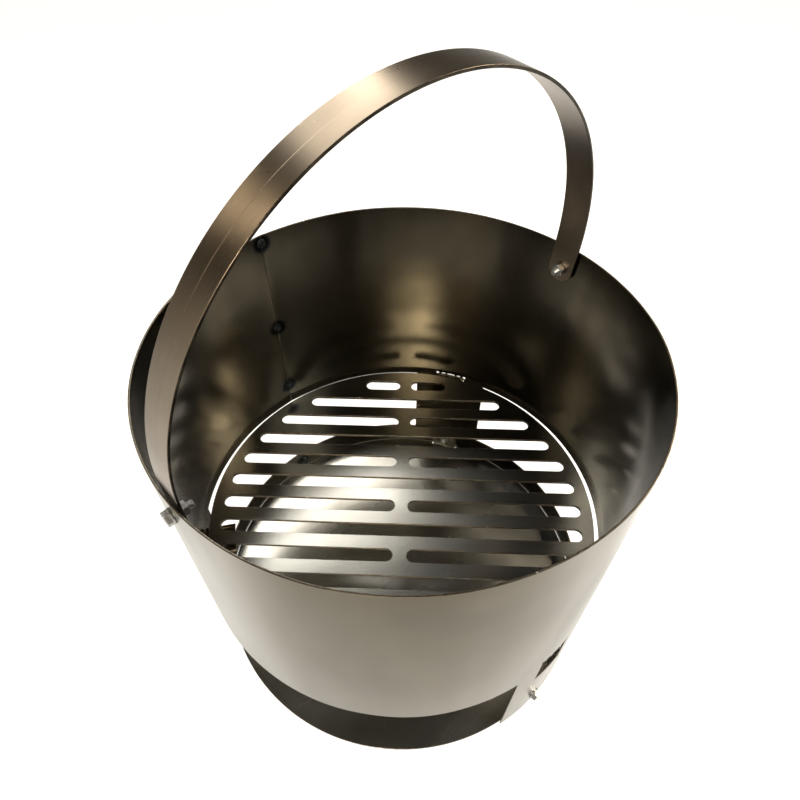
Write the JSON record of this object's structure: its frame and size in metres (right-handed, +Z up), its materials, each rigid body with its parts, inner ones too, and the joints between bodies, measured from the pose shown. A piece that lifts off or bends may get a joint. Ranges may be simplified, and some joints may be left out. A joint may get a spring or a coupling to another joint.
{
  "type": "fire pit",
  "caption": "Round rolled-steel fire pit on wall-cut legs, with a slotted lift-out grate, a bolted base plate, side draught windows and a swinging carrying bail.",
  "frame": {"origin": "centre of the drum's underside, on the ground", "axes": "+Z up, +X along the bail's pivot axis, +Y towards the seam and the back draught window"},
  "size_m": [0.4112, 0.4055, 0.5473],
  "materials": {
    "drum_steel": "satin mill finish, cold-rolled steel sheet",
    "grate_steel": "satin, laser-cut steel plate",
    "base_steel": "satin mill finish, cold-rolled steel sheet",
    "strap_steel": "satin, bent flat bar",
    "weld_metal": "rough tack weld with heat scale",
    "zinc_plate": "bright zinc plated"
  },
  "bodies": {
    "drum": {"drum_shell": "drum_steel", "base_plate": "base_steel", "tack_weld_band": "weld_metal", "tack_weld_lower": "weld_metal", "tack_weld_upper": "weld_metal", "tack_weld_rim": "weld_metal", "pivot_bolt_right": "zinc_plate", "pivot_washer_right": "zinc_plate", "pivot_spacer_right": "zinc_plate", "pivot_nut_right": "zinc_plate", "pivot_bolt_left": "zinc_plate", "pivot_washer_left": "zinc_plate", "pivot_spacer_left": "zinc_plate", "pivot_nut_left": "zinc_plate", "base_bolt_right": "zinc_plate", "base_washer_right": "zinc_plate", "base_nut_right": "zinc_plate", "base_bolt_left": "zinc_plate", "base_washer_left": "zinc_plate", "base_nut_left": "zinc_plate", "base_bolt_front": "zinc_plate", "base_washer_front": "zinc_plate", "base_nut_front": "zinc_plate"},
    "grate": {"fire_grate": "grate_steel"},
    "bail": {"bail_strap": "strap_steel"}
  },
  "joints": [
    {"name": "bail_swing", "type": "hinge", "parent": "drum", "child": "bail", "pos_m": [0, 0, 0.329], "axis": [1, 0, 0], "range_deg": [-37.5, 30.5]},
    {"name": "grate_lift", "type": "slide", "parent": "drum", "child": "grate", "axis": [0, 0, 1], "range_m": [0, 0.175]}
  ]
}
